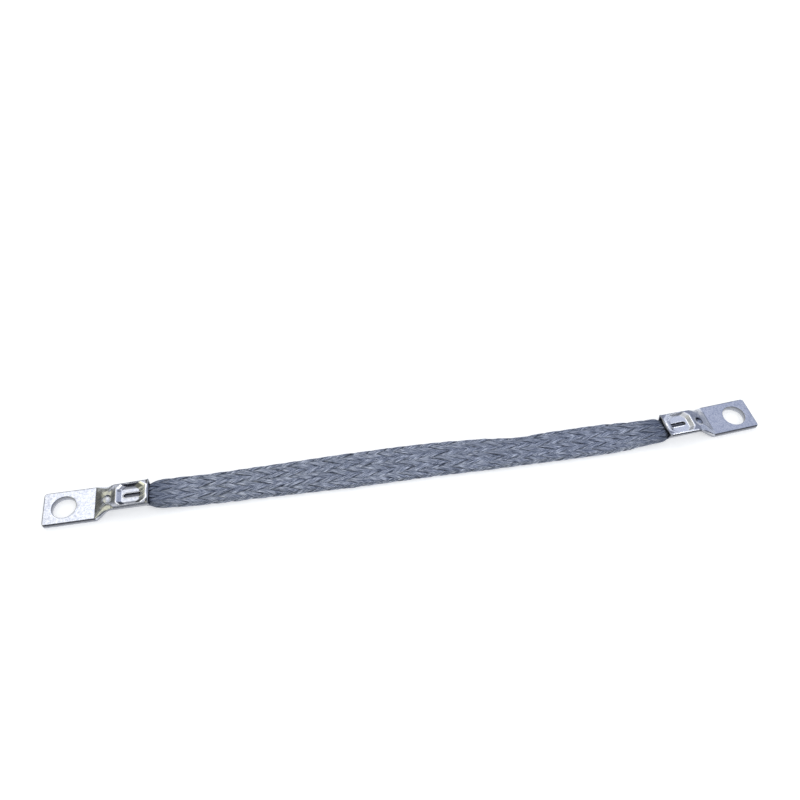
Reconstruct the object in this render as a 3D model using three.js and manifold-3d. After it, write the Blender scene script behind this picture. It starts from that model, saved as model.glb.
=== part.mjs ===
// A flexible busbar braid: a flattened tube of woven tinned copper wire with a tubular lug crimped on
// each end. Millimetres, +Z up. The strap lies on its palms with its length along X.
import * as THREE from "three";
import { mergeVertices } from "three/addons/utils/BufferGeometryUtils.js";
import Module from "manifold-3d";

const wasm = await Module();
wasm.setup();

// Strap as it lies
const boltSpan = 250; // bolt hole centre to bolt hole centre
const rightLugTurn = 4.8; // degrees that the right lug points away from the left one's line

// Lug tube and palm
const tubeWall = 1.2;
const palmLength = 17.8;
const palmWidth = 13;
const palmSideRadius = 1.1;
const palmCornerRadius = 1;
const boltHoleDiameter = 8.4;
const boltHoleToEnd = 7.1;

// Lug neck, between the palm and the barrel
const neckLength = 7.1;
const narrowingLength = 5.4; // the tube comes in from the palm's width within this
const neckDip = 0.45; // how far the middle of its top is pressed in
const inspectionHoleDiameter = 3;
const inspectionHoleFromBend = 4.5;

// Lug barrel
const barrelLength = 12.1;
const barrelWidth = 9.9; // across the lips that the crimp pushes up
const barrelHeight = 5.8;
const barrelShoulderRadius = 0.7;
const bellyWidth = 8.6; // across the round lower half
const bellyHeight = 3.9;
const flareLength = 1.6;
const mouthWidth = 10.2;
const mouthBellyWidth = 9.3;
const mouthHeight = 6.5;
const mouthDip = 0.8;
const cavityFromBend = 1.6;

// Crimp pressed into the top of the barrel
const crimpLength = 10.1;
const crimpWidth = 8.4;
const crimpDepth = 1.4;
const crimpEndSlope = 1.9; // how far each end wall leans in from its top edge to the floor
const crimpSideSlope = 0.45;
const crimpCornerCut = 1.7;
const crimpToMouth = 1.5;
const grooveLength = 5.4;
const grooveWidth = 1.6;
const grooveDepth = 0.6;

// Braid
const carriersEachWay = 12;
const braidAngle = 22; // degrees between a bundle and the strap's length
const braidWidth = 14.4;
const braidThickness = 2.6;
const bundleRelief = 0.3; // height of a bundle's crown above the middle of its weave
const settleLength = 20; // the braid comes down from the mouth onto the surface within this
const seatClearance = 0.3; // between the braid's end and the lug that grips it
const mouthFill = 0.72; // share of the round mouth that the weave's own loop takes up

// Where the braid narrows and wanders, each at a share of the way from mouth to mouth. Its width is a
// share of braidWidth, and its side is how far it lies from the straight line between the mouths.
const braidStations = [
  { share: 0.01, width: 0.64, side: 0 },
  { share: 0.045, width: 0.79, side: 0.05 },
  { share: 0.12, width: 0.86, side: 0.18 },
  { share: 0.24, width: 0.92, side: 0.35 },
  { share: 0.38, width: 1, side: 0.55 },
  { share: 0.54, width: 0.99, side: 0.72 },
  { share: 0.64, width: 0.93, side: 0.05 },
  { share: 0.71, width: 0.83, side: -0.6 },
  { share: 0.78, width: 0.88, side: -0.3 },
  { share: 0.89, width: 0.88, side: 0 },
  { share: 0.95, width: 0.75, side: -0.1 },
  { share: 0.99, width: 0.63, side: 0 },
];

// Finishes
const tinnedLug = { color: 0xb4b8c6, roughness: 0.28, metalness: 0.95 };
const tinnedWire = { color: 0x78829a, roughness: 0.5, metalness: 0.8 };

// Smoothness of round shapes
const shoulderSteps = 4;
const heelSteps = 8;
const dipSteps = 6;
const neckSteps = 9;
const holeSegments = 48;
const overshoot = 2; // how far a cutter runs past the face that it cuts

const palmThickness = 2 * tubeWall;
const mouthFromBend = neckLength + barrelLength;
const boltHoleFromBend = palmLength - boltHoleToEnd;
const turn = THREE.MathUtils.degToRad(rightLugTurn);
const bendSpan =
  Math.sqrt(boltSpan ** 2 - (boltHoleFromBend * Math.sin(turn)) ** 2) -
  boltHoleFromBend * (1 + Math.cos(turn));

const { clamp, lerp, smoothstep } = THREE.MathUtils;

// Turns a closed three.js geometry into a solid for cutting and joining.
function solidOf(geometry) {
  geometry.deleteAttribute("normal");
  geometry.deleteAttribute("uv");
  const merged = mergeVertices(geometry, 1e-4);
  const mesh = new wasm.Mesh({
    numProp: 3,
    vertProperties: merged.attributes.position.array,
    triVerts: new Uint32Array(merged.index.array),
  });
  return new wasm.Manifold(mesh);
}

function geometryOf(solid) {
  const mesh = solid.getMesh();
  const geometry = new THREE.BufferGeometry();
  geometry.setAttribute("position", new THREE.BufferAttribute(mesh.vertProperties, 3));
  geometry.setIndex(new THREE.BufferAttribute(mesh.triVerts, 1));
  geometry.computeVertexNormals();
  return geometry;
}

// Skins a row of rings that all have the same number of points, and closes both ends with a fan. In a
// woven skin every second ring is turned by half a step, so that its points sit between its neighbours'.
function loft(rings, woven = false) {
  const count = rings[0].length;
  const points = rings.flat();
  const faces = [];
  for (let row = 0; row + 1 < rings.length; row++) {
    const shift = woven && row % 2 === 1 ? 1 : 0;
    for (let i = 0; i < count; i++) {
      const next = (i + 1) % count;
      const near = row * count;
      const far = near + count;
      if (woven) {
        const between = far + ((i + shift) % count);
        const after = far + ((i + shift + 1) % count);
        const before = far + ((i + shift + count - 1) % count);
        if (shift) faces.push(near + i, near + next, between, near + next, after, between);
        else faces.push(near + i, near + next, between, near + i, between, before);
      } else {
        faces.push(near + i, near + next, far + i, near + next, far + next, far + i);
      }
    }
  }
  const last = (rings.length - 1) * count;
  const firstCentre = points.push(centreOf(rings[0])) - 1;
  const lastCentre = points.push(centreOf(rings.at(-1))) - 1;
  for (let i = 0; i < count; i++) {
    const next = (i + 1) % count;
    faces.push(firstCentre, next, i, lastCentre, last + i, last + next);
  }
  const geometry = new THREE.BufferGeometry().setFromPoints(points);
  geometry.setIndex(faces);
  return geometry;
}

function centreOf(ring) {
  const sum = new THREE.Vector3();
  for (const point of ring) sum.add(point);
  return sum.divideScalar(ring.length);
}

// The lug's section at a distance from the bend line: a round tube at the mouth, pressed flat at the palm.
function lugSection(fromBend) {
  const along = clamp(fromBend / neckLength, 0, 1);
  const risen = Math.sin((along * Math.PI) / 2);
  const narrowed = smoothstep(fromBend, 0, narrowingLength);
  const flared = smoothstep(fromBend, mouthFromBend - flareLength, mouthFromBend);
  return {
    halfWidth: lerp(lerp(palmWidth, barrelWidth, narrowed), mouthWidth, flared) / 2,
    halfBelly: lerp(lerp(palmWidth, bellyWidth, narrowed), mouthBellyWidth, flared) / 2,
    bottom: 0,
    top: lerp(lerp(palmThickness, barrelHeight, risen), mouthHeight, flared),
    shoulder: lerp(palmSideRadius, barrelShoulderRadius, narrowed),
    heelAcross: lerp(lerp(palmSideRadius, bellyWidth / 2, narrowed), mouthBellyWidth / 2, flared),
    heelUp: lerp(palmSideRadius, bellyHeight, narrowed),
    dip: neckDip * Math.sin(along * Math.PI) + mouthDip * flared,
  };
}

function inset(section, amount) {
  const tightest = 0.2;
  const sideHeight = section.top - section.shoulder - section.bottom - section.heelUp;
  const lean = (section.halfWidth - section.halfBelly) / sideHeight;
  return {
    halfWidth: section.halfWidth - amount * (1 + lean),
    halfBelly: section.halfBelly - amount,
    bottom: section.bottom + amount,
    top: section.top - amount,
    shoulder: Math.max(section.shoulder - amount, tightest),
    heelAcross: Math.max(section.heelAcross - amount, tightest),
    heelUp: Math.max(section.heelUp - amount, tightest),
    dip: section.dip,
  };
}

// One closed outline across the lug at x: an elliptic heel on each side below, a small round shoulder on
// each side above, and a top that dips in the middle.
function sectionRing(x, section) {
  const { halfWidth, halfBelly, bottom, top, shoulder, heelAcross, heelUp, dip } = section;
  const flatBottom = halfBelly - heelAcross;
  const ring = [];
  const corner = (y, z, across, up, from, steps) => {
    for (let i = 0; i <= steps; i++) {
      const angle = from + (i / steps) * (Math.PI / 2);
      ring.push(new THREE.Vector3(x, y + across * Math.cos(angle), z + up * Math.sin(angle)));
    }
  };
  corner(flatBottom, bottom + heelUp, heelAcross, heelUp, -Math.PI / 2, heelSteps);
  corner(halfWidth - shoulder, top - shoulder, shoulder, shoulder, 0, shoulderSteps);
  const flat = halfWidth - shoulder;
  for (let i = 1; i < dipSteps; i++) {
    const y = flat * (1 - (2 * i) / dipSteps);
    ring.push(new THREE.Vector3(x, y, top - dip * (1 - (y / flat) ** 2)));
  }
  corner(shoulder - halfWidth, top - shoulder, shoulder, shoulder, Math.PI / 2, shoulderSteps);
  corner(-flatBottom, bottom + heelUp, heelAcross, heelUp, Math.PI, heelSteps);
  return ring;
}

// Distances from the bend line at which the lug's section changes, from one distance to the mouth.
function stationsFrom(start) {
  const stations = [start];
  for (let i = 0; i <= neckSteps; i++) stations.push((i / neckSteps) * neckLength);
  for (let i = 0; i <= 3; i++) stations.push(mouthFromBend - flareLength * (1 - i / 3));
  return stations.filter((station) => station >= start).filter((s, i, all) => i === 0 || s > all[i - 1]);
}

function lugLoft(start, amount) {
  const rings = stationsFrom(start).map((x) => sectionRing(x, inset(lugSection(x), amount)));
  if (amount > 0) {
    const past = rings.at(-1).map((point) => point.clone().setX(mouthFromBend + overshoot));
    rings.push(past);
  }
  return solidOf(loft(rings));
}

function cylinder(diameter, x, bottom, top) {
  const geometry = new THREE.CylinderGeometry(diameter / 2, diameter / 2, top - bottom, holeSegments);
  geometry.rotateX(Math.PI / 2);
  geometry.translate(x, 0, (bottom + top) / 2);
  return solidOf(geometry);
}

// What the crimping die takes out of the barrel: a sloped tray with cut corners, grown all round by amount.
function crimpTray(amount) {
  const middle = mouthFromBend - crimpToMouth - crimpLength / 2;
  const ringAt = (level) => {
    const depth = barrelHeight - level;
    const lean = depth / crimpDepth;
    const halfLength = crimpLength / 2 - crimpEndSlope * lean + amount;
    const halfWidth = crimpWidth / 2 - crimpSideSlope * lean + amount;
    const cut = crimpCornerCut;
    const outline = [
      [halfLength - cut, -halfWidth],
      [halfLength, -halfWidth + cut],
      [halfLength, halfWidth - cut],
      [halfLength - cut, halfWidth],
      [-halfLength + cut, halfWidth],
      [-halfLength, halfWidth - cut],
      [-halfLength, -halfWidth + cut],
      [-halfLength + cut, -halfWidth],
    ];
    return outline.map(([x, y]) => new THREE.Vector3(middle + x, y, level - amount));
  };
  return solidOf(loft([ringAt(barrelHeight + overshoot), ringAt(barrelHeight - crimpDepth)].reverse()));
}

// The groove that the die's rib leaves in the floor of the crimp, round at the end next to the palm.
function crimpGroove() {
  const floorEnd = mouthFromBend - crimpToMouth - crimpEndSlope;
  const start = floorEnd - grooveLength + grooveWidth / 2;
  const outline = new THREE.Shape();
  outline.moveTo(floorEnd, -grooveWidth / 2);
  outline.lineTo(floorEnd, grooveWidth / 2);
  outline.lineTo(start, grooveWidth / 2);
  outline.absarc(start, 0, grooveWidth / 2, Math.PI / 2, (3 * Math.PI) / 2);
  const height = grooveDepth + crimpDepth;
  const geometry = new THREE.ExtrudeGeometry(outline, { depth: height, bevelEnabled: false, curveSegments: 10 });
  geometry.translate(0, 0, barrelHeight - crimpDepth - grooveDepth);
  return solidOf(geometry);
}

// The lug's outline seen from above, which rounds the two corners of the sheared free end.
function palmTrim() {
  const reach = palmWidth + mouthWidth;
  const outline = new THREE.Shape();
  outline.moveTo(mouthFromBend + overshoot, -reach);
  outline.lineTo(mouthFromBend + overshoot, reach);
  outline.lineTo(-palmLength + palmWidth / 2, reach);
  outline.lineTo(-palmLength + palmWidth / 2, palmWidth / 2);
  outline.lineTo(-palmLength + palmCornerRadius, palmWidth / 2);
  outline.absarc(
    -palmLength + palmCornerRadius,
    palmWidth / 2 - palmCornerRadius,
    palmCornerRadius,
    Math.PI / 2,
    Math.PI,
  );
  outline.absarc(
    -palmLength + palmCornerRadius,
    -palmWidth / 2 + palmCornerRadius,
    palmCornerRadius,
    Math.PI,
    (3 * Math.PI) / 2,
  );
  outline.lineTo(-palmLength + palmWidth / 2, -palmWidth / 2);
  outline.lineTo(-palmLength + palmWidth / 2, -reach);
  const height = mouthHeight + barrelHeight + 2 * overshoot;
  const geometry = new THREE.ExtrudeGeometry(outline, { depth: height, bevelEnabled: false, curveSegments: 6 });
  geometry.translate(0, 0, -overshoot);
  return solidOf(geometry);
}

// One lug with its palm along -X and its mouth along +X, the bend line at the origin.
function lugSolid() {
  const cavity = lugLoft(cavityFromBend, tubeWall).subtract(crimpTray(tubeWall));
  const boltHole = cylinder(boltHoleDiameter, -boltHoleFromBend, -overshoot, palmThickness + overshoot);
  const inspectionHole = cylinder(
    inspectionHoleDiameter,
    inspectionHoleFromBend,
    palmThickness,
    barrelHeight + overshoot,
  );
  return lugLoft(-palmLength, 0)
    .intersect(palmTrim())
    .subtract(crimpTray(0))
    .subtract(crimpGroove())
    .subtract(cavity)
    .subtract(boltHole)
    .subtract(inspectionHole);
}

// The end of the braid inside a lug, squeezed to the shape of the cavity.
function grippedEnd() {
  const shrink = tubeWall + seatClearance;
  const start = inspectionHoleFromBend + inspectionHoleDiameter / 2;
  const rings = stationsFrom(start).map((x) => sectionRing(x, inset(lugSection(x), shrink)));
  return solidOf(loft(rings)).subtract(crimpTray(shrink));
}

// A smooth curve through the braid's stations for one of their values.
function alongBraid(share, value, atMouth) {
  const stations = [{ share: 0, [value]: atMouth }, ...braidStations, { share: 1, [value]: atMouth }];
  const slope = (i) => {
    const before = stations[Math.max(i - 1, 0)];
    const after = stations[Math.min(i + 1, stations.length - 1)];
    return (after[value] - before[value]) / (after.share - before.share);
  };
  let i = 0;
  while (i + 2 < stations.length && share > stations[i + 1].share) i++;
  const span = stations[i + 1].share - stations[i].share;
  const t = (share - stations[i].share) / span;
  const start = (2 * t ** 3 - 3 * t ** 2 + 1) * stations[i][value];
  const end = (3 * t ** 2 - 2 * t ** 3) * stations[i + 1][value];
  const leave = (t ** 3 - 2 * t ** 2 + t) * span * slope(i);
  const arrive = (t ** 3 - t ** 2) * span * slope(i + 1);
  return start + end + leave + arrive;
}

// A point on a flat loop with round edges, at a share of the way round from the middle of one edge.
function loopPoint(share, width, thickness) {
  const radius = thickness / 2;
  const flat = width - thickness;
  const bend = Math.PI * radius;
  const perimeter = 2 * (flat + bend);
  const way = (share * perimeter + bend / 2) % perimeter;
  const half = way < perimeter / 2 ? 0 : 1;
  const rest = way - (half * perimeter) / 2;
  const sign = half ? -1 : 1;
  if (rest < bend) {
    const angle = -Math.PI / 2 + rest / radius;
    const out = new THREE.Vector2(Math.cos(angle), Math.sin(angle));
    return { side: sign * (flat / 2 + radius * out.x), up: sign * radius * out.y, out: out.multiplyScalar(sign) };
  }
  return { side: sign * (flat / 2 - (rest - bend)), up: sign * radius, out: new THREE.Vector2(0, sign) };
}

// Height of the weave at a knot of the lattice: 1 on a bundle's crown, -1 between bundles and 0 where one
// dives under the next. Every bundle goes over two of the other way and then under two.
function weaveHeight(row, column) {
  const first = (column + row) / 2;
  const second = (column - row) / 2;
  const firstOver = (sum) => (((sum % 4) + 4) % 4 < 2 ? 1 : 0);
  const evenFirst = first % 2 === 0;
  const evenSecond = second % 2 === 0;
  if (evenFirst && evenSecond) return 1;
  if (!evenFirst && !evenSecond) return -1;
  const below = (first + second - 1) / 2;
  const over = firstOver(below) + firstOver(below + 1);
  return evenFirst ? over - 1 : 1 - over;
}

// The free braid between the mouths, from just inside one lug to just inside the other. Its rings start
// square to the left mouth and turn on the way until they are square to the right one.
function wovenBraid(leftMouth, rightMouth) {
  const mouth = inset(lugSection(mouthFromBend), tubeWall + seatClearance);
  const mouthLevel = (mouth.bottom + mouth.top - mouth.dip) / 2;
  const mouthGap = (mouth.top - mouth.dip - mouth.bottom) * mouthFill - 2 * bundleRelief;
  const mouthShare = (2 * mouth.halfBelly * mouthFill) / braidWidth;
  const length = leftMouth.distanceTo(rightMouth);
  const perimeter = 2 * (braidWidth - braidThickness) + Math.PI * braidThickness;
  const angle = THREE.MathUtils.degToRad(braidAngle);
  const rowLength = perimeter / (4 * carriersEachWay * Math.tan(angle));
  const rows = Math.round(length / rowLength);
  const leftAcross = new THREE.Vector3(0, 1, 0);
  const rightAcross = new THREE.Vector3(-Math.sin(turn), Math.cos(turn), 0);
  const rings = [];
  for (let row = 0; row <= rows; row++) {
    const share = row / rows;
    const width = braidWidth * alongBraid(share, "width", mouthShare) - 2 * bundleRelief;
    const fromMouth = Math.min(share, 1 - share) * length;
    const bulk = (braidThickness * braidWidth) / (width + 2 * bundleRelief) - 2 * bundleRelief;
    const thickness = lerp(mouthGap, bulk, smoothstep(fromMouth, 0, 2 * rowLength));
    const settled = smoothstep(fromMouth, 0, settleLength);
    const level = lerp(mouthLevel, thickness / 2 + bundleRelief, settled);
    const across = leftAcross.clone().lerp(rightAcross, share).normalize();
    const centre = leftMouth.clone().lerp(rightMouth, share);
    centre.addScaledVector(across, alongBraid(share, "side", 0));
    const ring = [];
    for (let i = 0; i < 2 * carriersEachWay; i++) {
      const column = 2 * i + (row % 2);
      const { side, up, out } = loopPoint(column / (4 * carriersEachWay), width, thickness);
      const lift = bundleRelief * weaveHeight(row, column);
      const point = centre.clone().addScaledVector(across, side + lift * out.x);
      point.z = level + up + lift * out.y;
      ring.push(point);
    }
    rings.push(ring);
  }
  return solidOf(loft(rings, true));
}

function mouthPoint(bend, direction) {
  const tuck = seatClearance;
  return bend.clone().addScaledVector(direction, mouthFromBend - tuck);
}

// Puts a lug's own frame at a bend line, with its mouth towards the direction.
function placedAt(solid, bend, degrees) {
  return solid.rotate([0, 0, degrees]).translate([bend.x, bend.y, bend.z]);
}

function buildStrap() {
  const leftBend = new THREE.Vector3(0, 0, 0);
  const rightBend = new THREE.Vector3(bendSpan, 0, 0);
  const rightDegrees = 180 + rightLugTurn;
  const leftInwards = new THREE.Vector3(1, 0, 0);
  const rightInwards = new THREE.Vector3(-Math.cos(turn), -Math.sin(turn), 0);

  const lug = geometryOf(lugSolid());
  const lugLeft = new THREE.Mesh(lug, new THREE.MeshStandardMaterial(tinnedLug));
  lugLeft.name = "lug_left";
  lugLeft.position.copy(leftBend);

  const lugRight = new THREE.Mesh(lug.clone(), new THREE.MeshStandardMaterial(tinnedLug));
  lugRight.name = "lug_right";
  lugRight.position.copy(rightBend);
  lugRight.rotation.z = THREE.MathUtils.degToRad(rightDegrees);

  const woven = wovenBraid(mouthPoint(leftBend, leftInwards), mouthPoint(rightBend, rightInwards));
  const wholeBraid = woven
    .add(placedAt(grippedEnd(), leftBend, 0))
    .add(placedAt(grippedEnd(), rightBend, rightDegrees));
  const braid = new THREE.Mesh(geometryOf(wholeBraid), new THREE.MeshStandardMaterial(tinnedWire));
  braid.name = "braid";

  const strap = new THREE.Group();
  strap.add(lugLeft, lugRight, braid);
  return strap;
}

// The origin is the middle of the strap's box, on the surface that it lies on.
function centred(strap) {
  strap.updateMatrixWorld(true);
  const box = new THREE.Box3().setFromObject(strap, true);
  const middle = box.getCenter(new THREE.Vector3());
  strap.position.set(-middle.x, -middle.y, -box.min.z);
  return strap;
}

export default centred(buildStrap());
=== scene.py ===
import math
import bmesh
import bpy
import numpy as np
from mathutils import Matrix, Vector


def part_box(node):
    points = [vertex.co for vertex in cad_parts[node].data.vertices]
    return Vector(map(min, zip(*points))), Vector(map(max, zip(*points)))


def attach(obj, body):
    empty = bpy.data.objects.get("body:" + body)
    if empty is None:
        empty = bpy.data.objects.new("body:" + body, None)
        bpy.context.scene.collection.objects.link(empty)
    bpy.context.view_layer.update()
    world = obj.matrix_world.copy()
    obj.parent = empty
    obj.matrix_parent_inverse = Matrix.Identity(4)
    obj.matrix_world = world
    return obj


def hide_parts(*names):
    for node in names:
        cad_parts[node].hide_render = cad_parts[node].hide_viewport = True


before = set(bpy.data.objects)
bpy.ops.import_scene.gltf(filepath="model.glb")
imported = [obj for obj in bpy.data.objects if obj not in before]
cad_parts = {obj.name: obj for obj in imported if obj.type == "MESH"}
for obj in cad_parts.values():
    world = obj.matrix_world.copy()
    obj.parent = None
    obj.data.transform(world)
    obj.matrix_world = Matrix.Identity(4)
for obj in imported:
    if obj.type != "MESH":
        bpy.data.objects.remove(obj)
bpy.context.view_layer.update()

# Viewpoint
# The camera stands in front of the strap and looks down on it at about 53 degrees, a little turned.
# Its place and its lens were worked out from the corners of the lugs' palms.
camera_place = Vector((-0.033613, -0.154379, 0.249316))
camera_ahead = Vector((0.1058, 0.5909, -0.7997)).normalized()
camera_level = Vector((0.98435, -0.17624, 0.0)).normalized()
camera_roll = math.radians(0.99)
lens_length = 35.78

camera_over = camera_level.cross(camera_ahead)
camera_right = camera_level * math.cos(camera_roll) + camera_over * math.sin(camera_roll)
camera_up = camera_over * math.cos(camera_roll) - camera_level * math.sin(camera_roll)
camera_turn = Matrix((camera_right, camera_up, -camera_ahead)).transposed().to_4x4()
lens = bpy.data.cameras.new("lens")
lens.lens = lens_length
lens.sensor_width = 36
lens.clip_start = 0.01
camera = bpy.data.objects.new("camera", lens)
camera.matrix_world = Matrix.Translation(camera_place) @ camera_turn
bpy.context.scene.collection.objects.link(camera)
bpy.context.scene.camera = camera

# Lug bodies
# Each lug is one piece of tinned copper tube. One end is pressed flat into a palm and punched for the
# bolt, the tube rises through a neck to the barrel, and the barrel ends in a flared mouth.
mm = 0.001
tube_wall = 1.2
palm_thick = 2 * tube_wall
palm_length = 17.8
palm_width = 13.0
palm_top_round = 0.4
palm_heel_round = 0.85
palm_corner_round = 1.0
palm_edge_round = 0.35
neck_length = 7.1
bend_round = 0.5
narrowing_length = 5.4
neck_dip = 1.3
neck_dip_reach = 2.1
dip_curve = 1.6
neck_shoulder_up = 0.75
neck_shoulder_across = 1.9
barrel_length = 12.1
barrel_width = 9.9
barrel_height = 5.8
barrel_rise = 0.3
barrel_shoulder = 0.7
belly_width = 8.6
belly_height = 3.9
flare_length = 1.15
mouth_width = 10.2
mouth_belly = 9.3
mouth_height = 6.5
mouth_dip = 0.8
mouth_edge_round = 0.34
mouth_wall = 0.8
bell_length = 2.0
mouth_at = neck_length + barrel_length
cavity_from = 1.6
sight_hole_at = 4.5
least_round = 0.2


def mix(a, b, t):
    return a + (b - a) * t


def ease(x, start, end):
    t = min(max((x - start) / (end - start), 0.0), 1.0)
    return t * t * (3 - 2 * t)


def lug_section(u):
    rounded = math.hypot(max(u, 0.0), bend_round) - bend_round
    along = min(rounded / (math.hypot(neck_length, bend_round) - bend_round), 1.0)
    risen = math.sin(along * math.pi / 2)
    narrowed = ease(u, 0, narrowing_length)
    flared = min(max((u - mouth_at + flare_length) / flare_length, 0.0), 1.0) ** 2
    toward_mouth = min(max((u - neck_length) / barrel_length, 0.0), 1.0)
    top = barrel_height + barrel_rise * (2 * toward_mouth - 1)
    arched = math.sin(along * math.pi)
    shoulder = mix(palm_top_round, barrel_shoulder, narrowed)
    return {
        "half": mix(mix(palm_width, barrel_width, narrowed), mouth_width, flared) / 2,
        "belly": mix(mix(palm_width, belly_width, narrowed), mouth_belly, flared) / 2,
        "low": 0.0,
        "high": mix(mix(palm_thick, top, risen), mouth_height, flared),
        "shoulder": shoulder + neck_shoulder_up * arched,
        "shoulder_across": shoulder + neck_shoulder_across * arched,
        "heel_across": mix(mix(palm_heel_round, belly_width / 2, narrowed), mouth_belly / 2, flared),
        "heel_up": mix(palm_heel_round, belly_height, narrowed),
        "dip": neck_dip * math.exp(-(((u - sight_hole_at) / neck_dip_reach) ** 2)) + mouth_dip * flared,
    }


def shrunk(section, amount):
    straight = section["high"] - section["shoulder"] - section["low"] - section["heel_up"]
    lean = (section["half"] - section["belly"]) / max(straight, least_round)
    return {
        "half": section["half"] - amount * (1 + lean),
        "belly": section["belly"] - amount,
        "low": section["low"] + amount,
        "high": section["high"] - amount,
        "shoulder": max(section["shoulder"] - amount, least_round),
        "shoulder_across": max(section["shoulder_across"] - amount, least_round),
        "heel_across": max(section["heel_across"] - amount, least_round),
        "heel_up": max(section["heel_up"] - amount, least_round),
        "dip": section["dip"],
    }


# Crimp
# A die presses an eight-sided tray into the top of the barrel to grip the braid. Its rib leaves a
# groove along the middle of the floor, and the metal that it moves stands up as a lip on each side.
crimp_length = 10.1
crimp_width = 8.4
crimp_depth = 1.4
crimp_end_slope = 1.9
crimp_side_slope = 0.45
crimp_corner_cut = 1.7
crimp_to_mouth = 1.5
crimp_middle = mouth_at - crimp_to_mouth - crimp_length / 2
crimp_floor = barrel_height - crimp_depth
groove_length = 5.4
groove_width = 1.6
groove_depth = 0.75
press_round = 0.12
lip_height = 0.1
lip_width = 0.2
groove_fade = 0.3
burr_height = 0.1
burr_width = 0.13
burr_away = 0.14


def soft_least(a, b, width):
    near = np.maximum(width - np.abs(a - b), 0) / width
    return np.minimum(a, b) - near * near * width / 4


def soft_most(a, b, width):
    return -soft_least(-a, -b, width)


def pressed_height(u, across):
    half_long = crimp_length / 2 - crimp_end_slope
    half_wide = crimp_width / 2 - crimp_side_slope
    from_middle = abs(u - crimp_middle)
    end = crimp_depth * (from_middle - half_long) / crimp_end_slope
    side = crimp_depth * (np.abs(across) - half_wide) / crimp_side_slope
    slant = crimp_end_slope + crimp_side_slope
    corner = crimp_depth * (from_middle + np.abs(across) - half_long - half_wide + crimp_corner_cut) / slant
    wall = soft_most(soft_most(side, corner, press_round), end, press_round)
    floor_end = crimp_middle + half_long
    groove_turn = floor_end - groove_length + groove_width / 2
    past = max(groove_turn - u, 0.0)
    away = np.sqrt(across**2 + past**2)
    sunk = np.clip(1 - (away / (groove_width / 2)) ** 4, 0, 1) ** 0.5
    sunk = sunk * np.clip(1 - wall / groove_fade, 0, 1)
    burr = burr_height * np.exp(-(((away - groove_width / 2 - burr_away) / burr_width) ** 2))
    return crimp_floor + soft_most(wall, np.zeros_like(wall), press_round) - groove_depth * sunk + burr


# Skin of the lug
# The tube is drawn as rings across it: from the slit between the two walls at the end of the palm,
# over the palm, the neck and the barrel, round the edge of the mouth and back down the inside.
groove_share = 0.27
floor_share = 0.84
heel_points = 19
turn_points = 7
slit_share = 0.05
slit_length = 0.93
slit_depth = 0.8
slit_lip = 0.08
round_share = 0.98
round_keys = ("shoulder", "shoulder_across", "heel_across", "heel_up")
palm_end_rings = (0, 0.02, 0.06, 0.12, 0.2, 0.28, 0.35, 0.5, 0.7, 1.0)
bend_rings = (-0.2, -0.1, 0.0, 0.1, 0.2)
neck_ring_step = 0.2
barrel_ring_step = 0.13
inside_ring_step = 0.3
weld_within = 2e-7
sliver_below = 1e-7


def top_shares():
    groove = np.linspace(0, groove_share, 13)
    floor = np.linspace(groove_share, floor_share, 9)[1:]
    lip = np.linspace(floor_share, 1.0, 11)[1:]
    right = np.concatenate((groove, floor, lip))
    return np.concatenate((right[::-1], -right[1:]))


def lug_ring(section, u, roof):
    heel = np.linspace(0, math.pi / 2, heel_points)
    turn = np.linspace(0, math.pi / 2, turn_points)
    flat_low = section["belly"] - section["heel_across"]
    flat = section["half"] - section["shoulder_across"]
    heel_y = flat_low + section["heel_across"] * np.sin(heel)
    heel_z = section["low"] + section["heel_up"] * (1 - np.cos(heel))
    turn_y = flat + section["shoulder_across"] * np.cos(turn)
    turn_z = section["high"] - section["shoulder"] * (1 - np.sin(turn))
    top_y = flat * top_shares()[1:-1]
    top_z = section["high"] - section["dip"] * (1 - (top_y / flat) ** 2) ** dip_curve
    y = np.concatenate((heel_y, turn_y, top_y, -turn_y[::-1], -heel_y[::-1]))
    z = np.concatenate((heel_z, turn_z, top_z, turn_z[::-1], heel_z[::-1]))
    if roof is not None:
        pressed = pressed_height(u, y) - roof
        if roof == 0.0:
            z = z + lip_height * np.exp(-(((pressed - z) / lip_width) ** 2)) * (z > crimp_floor)
        z = soft_least(z, pressed, press_round)
    return np.stack((np.full_like(y, u), y, z), axis=1)


def slit_rings():
    first = lug_section(-palm_length)
    first["half"] -= palm_corner_round + palm_edge_round
    first["belly"] -= palm_corner_round + palm_edge_round
    thin = palm_thick / 2 - palm_edge_round
    first["low"] = palm_thick / 2 - thin
    first["high"] = palm_thick / 2 + thin
    for key in round_keys:
        first[key] = thin * round_share
    face = lug_ring(first, -palm_length, None)
    seam = face.copy()
    seam[:, 1] *= slit_length
    seam[:, 2] = palm_thick / 2 + (seam[:, 2] - palm_thick / 2) * slit_share
    deep = seam.copy()
    deep[:, 0] += slit_depth
    return [deep, seam, seam + (face - seam) * slit_lip]


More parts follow.
